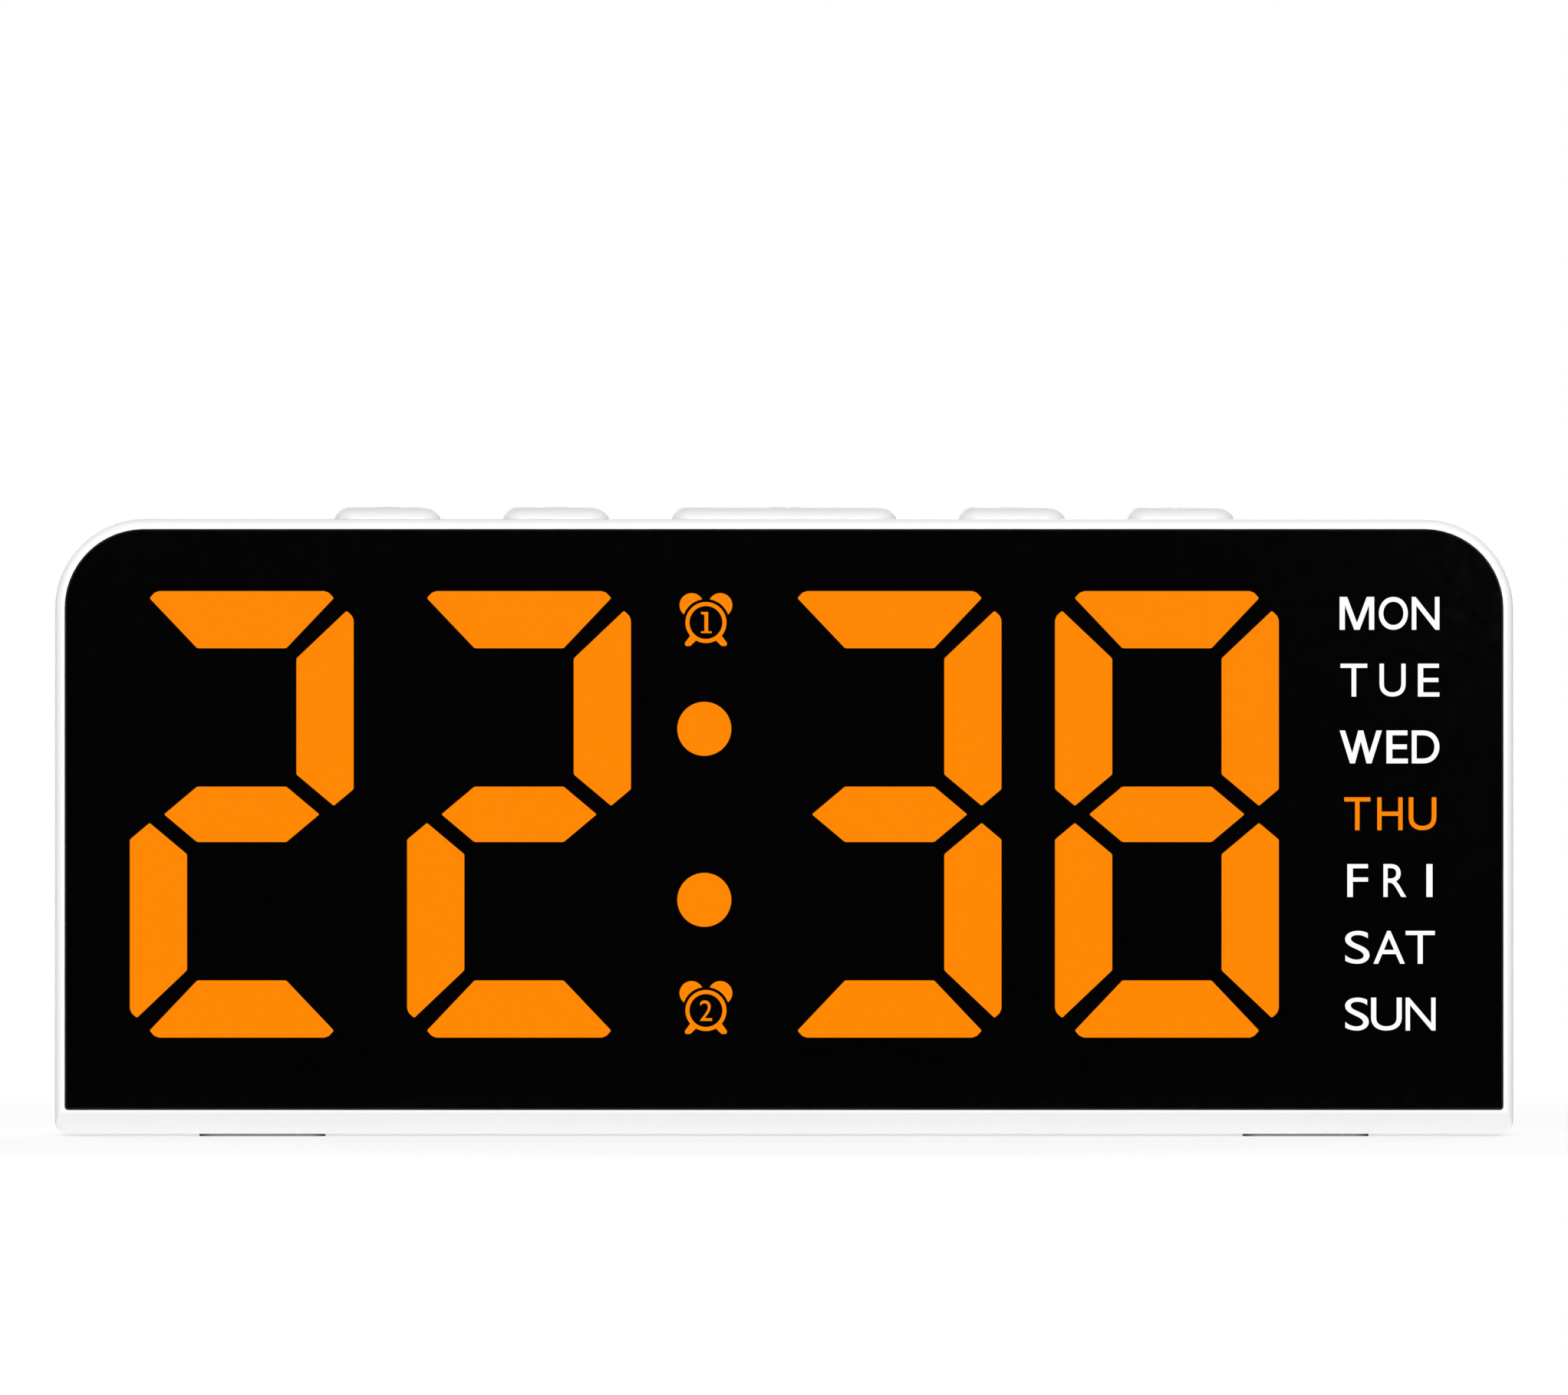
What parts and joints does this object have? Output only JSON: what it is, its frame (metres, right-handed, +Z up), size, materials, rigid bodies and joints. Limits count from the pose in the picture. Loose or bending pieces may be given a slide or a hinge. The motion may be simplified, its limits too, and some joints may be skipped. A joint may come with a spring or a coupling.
{
  "type": "dementia day clock",
  "caption": "Free-standing LED clock with very large digits, a weekday column, top buttons and a leaning back with a battery bay.",
  "frame": {"origin": "on the table, under the middle of the casing", "axes": "+Z up, +X to the right seen from the front, +Y to the back; the display faces -Y"},
  "size_m": [0.162, 0.028, 0.07],
  "materials": {
    "black_lead": "black PVC",
    "can": "drawn can",
    "capacitor_sleeve": "dark blue sleeve",
    "cell_wrap": "plain dark grey wrap",
    "chip_black": "black epoxy",
    "circuit_board": "green solder mask",
    "connector": "natural nylon",
    "foot_rubber": "translucent white silicone",
    "led": "LED package",
    "lit_guide": "milky acrylic, lit orange",
    "mask": "matt black film",
    "nickel": "nickel-plated steel",
    "plunger": "black nylon",
    "red_lead": "red PVC",
    "reflector": "white ABS",
    "ribbon": "grey flat cable",
    "smoked_lens": "polished black-tinted acrylic",
    "steel": "zinc-plated steel",
    "tape": "black foam tape",
    "white_button": "matt white ABS",
    "white_shell": "satin white ABS",
    "word_guide": "milky acrylic, lit white"
  },
  "bodies": {
    "casing": {"alarm_icon_light_guides": "lit_guide", "battery_contacts": "nickel", "battery_lead_black": "black_lead", "battery_lead_red": "red_lead", "battery_springs": "nickel", "buzzer": "chip_black", "capacitors": "capacitor_sleeve", "case_screws": "steel", "clock_chip": "chip_black", "colon_light_guides": "lit_guide", "crystal": "can", "display_board": "circuit_board", "display_board_screws": "steel", "display_leds": "led", "display_reflector": "reflector", "driver_chips": "chip_black", "front_bezel": "white_shell", "front_lens": "smoked_lens", "hour_tens_light_guides": "lit_guide", "hour_units_light_guides": "lit_guide", "key_board": "circuit_board", "key_board_screws": "steel", "key_ribbon": "ribbon", "key_switches": "chip_black", "lens_tape": "tape", "lower_cell": "cell_wrap", "mask_film": "mask", "middle_cell": "cell_wrap", "minute_tens_light_guides": "lit_guide", "minute_units_light_guides": "lit_guide", "power_board": "circuit_board", "power_board_screws": "steel", "power_leads": "red_lead", "power_socket": "nickel", "power_socket_tongue": "chip_black", "rear_housing": "white_shell", "ribbon_plugs": "connector", "rubber_feet": "foot_rubber", "upper_cell": "cell_wrap", "weekday_light_guides": "word_guide"},
    "alarm_key": {"alarm_button": "white_button", "alarm_plunger": "plunger"},
    "minus_key": {"minus_button": "white_button", "minus_plunger": "plunger"},
    "snooze_key": {"snooze_button": "white_button", "snooze_plunger": "plunger"},
    "plus_key": {"plus_button": "white_button", "plus_plunger": "plunger"},
    "set_key": {"set_button": "white_button", "set_plunger": "plunger"},
    "door": {"battery_door": "white_shell", "battery_door_screw": "steel"}
  },
  "joints": [
    {"name": "alarm_press", "type": "slide", "parent": "casing", "child": "alarm_key", "axis": [0, 0, -1], "range_m": [0, 0.0005], "stiffness_N_per_m": 800},
    {"name": "minus_press", "type": "slide", "parent": "casing", "child": "minus_key", "axis": [0, 0, -1], "range_m": [0, 0.0005], "stiffness_N_per_m": 800},
    {"name": "snooze_press", "type": "slide", "parent": "casing", "child": "snooze_key", "axis": [0, 0, -1], "range_m": [0, 0.0005], "stiffness_N_per_m": 800},
    {"name": "plus_press", "type": "slide", "parent": "casing", "child": "plus_key", "axis": [0, 0, -1], "range_m": [0, 0.0005], "stiffness_N_per_m": 800},
    {"name": "set_press", "type": "slide", "parent": "casing", "child": "set_key", "axis": [0, 0, -1], "range_m": [0, 0.0005], "stiffness_N_per_m": 800},
    {"name": "battery_door_lift", "type": "slide", "parent": "casing", "child": "door", "axis": [0, 0.9962, 0.0872], "range_m": [0, 0.03]}
  ]
}
